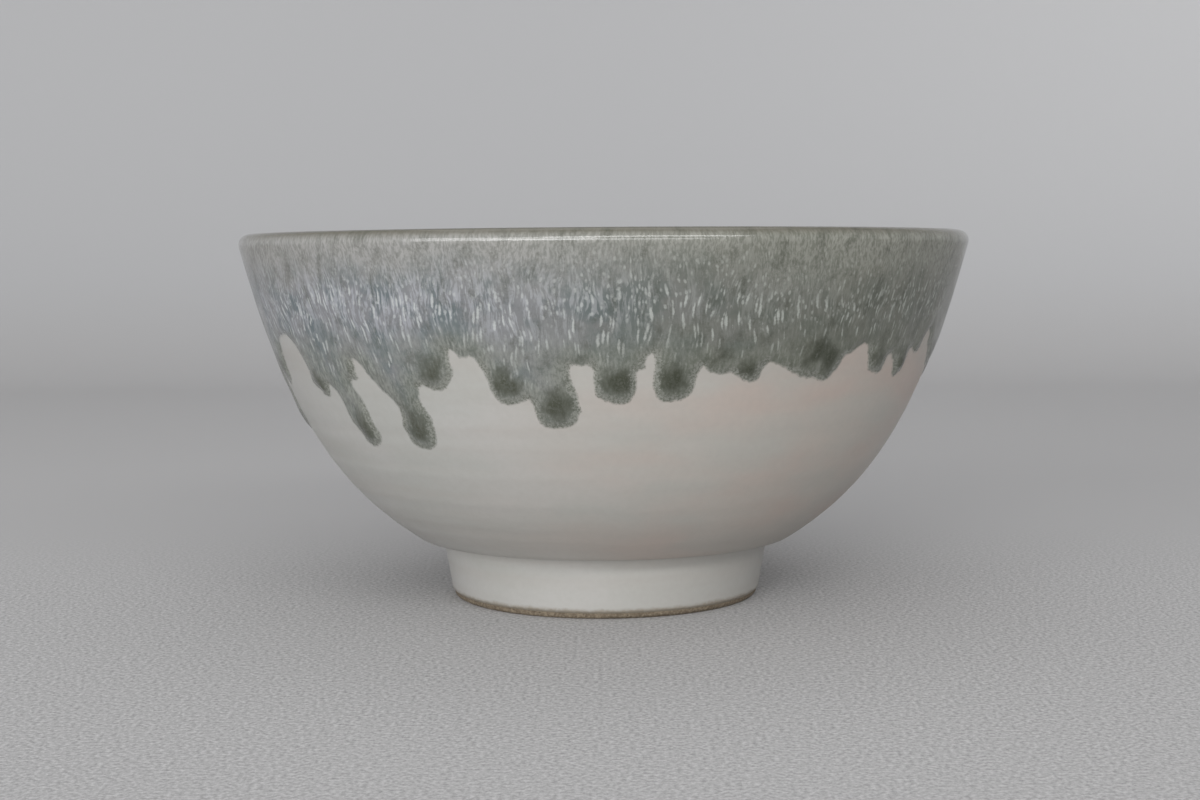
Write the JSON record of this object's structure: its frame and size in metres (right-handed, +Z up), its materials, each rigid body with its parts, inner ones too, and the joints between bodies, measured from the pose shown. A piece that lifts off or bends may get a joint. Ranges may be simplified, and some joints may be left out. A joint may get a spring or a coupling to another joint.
{
  "type": "matcha bowl",
  "caption": "Round stoneware tea bowl on a turned foot ring, white glaze under a poured ash glaze that runs down in tongues.",
  "frame": {"origin": "on the table, at the middle of the foot ring", "axes": "+Z up along the bowl's turning axis; the front of the bowl, with its widest spread of runs, faces -Y; +X is to the right seen from the front"},
  "size_m": [0.13, 0.13, 0.0654],
  "materials": {
    "clay": "unglazed stoneware, fired brown, matt and finely sandy",
    "white_glaze": "warm off-white glaze with a faint pink blush, satin gloss",
    "ash_glaze": "grey-green ash glaze, streaked pale blue and cream, glossy, dark olive where it pools in the ends of the runs"
  },
  "bodies": {
    "root": {"clay_body": "clay", "foot_ring": "clay", "outer_white_glaze": "white_glaze", "inner_white_glaze": "white_glaze", "foot_white_glaze": "white_glaze", "recess_white_glaze": "white_glaze", "ash_glaze_rim": "ash_glaze", "outer_ash_runs": "ash_glaze", "inner_ash_runs": "ash_glaze"}
  },
  "joints": []
}
